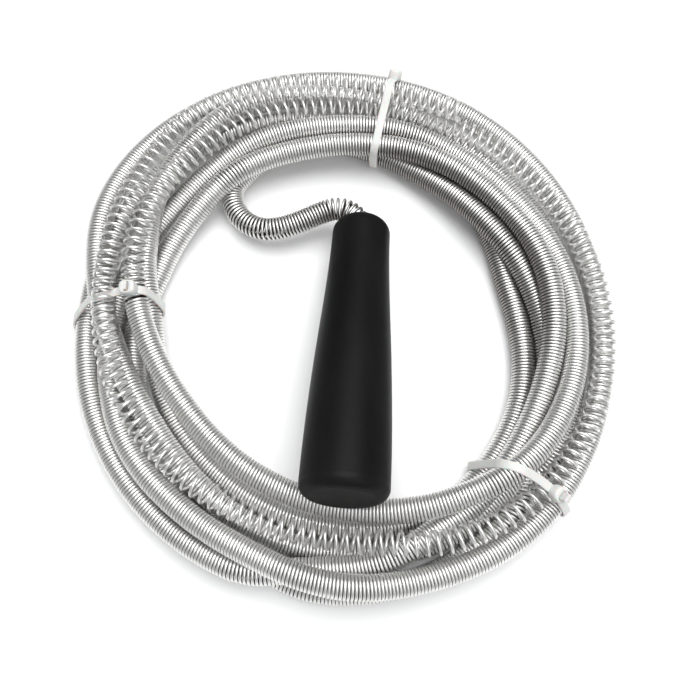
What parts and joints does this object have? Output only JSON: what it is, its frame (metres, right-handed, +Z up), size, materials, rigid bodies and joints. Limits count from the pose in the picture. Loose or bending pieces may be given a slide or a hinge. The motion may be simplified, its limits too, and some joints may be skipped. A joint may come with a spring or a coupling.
{
  "type": "drain auger",
  "caption": "Hand drain auger: a long flexible spring-wire cable wound in a tied ring, its cranked end turning in a black tapered plastic grip.",
  "frame": {"origin": "the centre of the wound ring, on the flat surface that the ring lies on", "axes": "+Z up from the surface the ring lies on; +Y from the grip's wide end towards its narrow, cranked end; +X to the right, seen from above with +Y away"},
  "size_m": [0.217, 0.2201, 0.0517],
  "materials": {
    "spring_steel": "bright zinc-plated spring wire",
    "zinc_steel": "zinc plated",
    "grip_plastic": "satin moulded",
    "cap_plastic": "satin moulded",
    "nylon": "natural moulded nylon"
  },
  "bodies": {
    "cable": {"cable_leg": "spring_steel", "retaining_washer": "zinc_steel", "retaining_screw": "zinc_steel", "cable_crank": "spring_steel", "cable_coil": "spring_steel", "tie_top": "nylon", "tie_left": "nylon", "tie_lower_right": "nylon"},
    "handle": {"handle_grip": "grip_plastic", "handle_end_cap": "cap_plastic"}
  },
  "joints": [
    {"name": "handle_spin", "type": "hinge", "parent": "cable", "child": "handle", "pos_m": [0.0059, 0.034, 0.0149], "axis": [-0.067, -0.9764, 0.2054], "continuous": true}
  ]
}
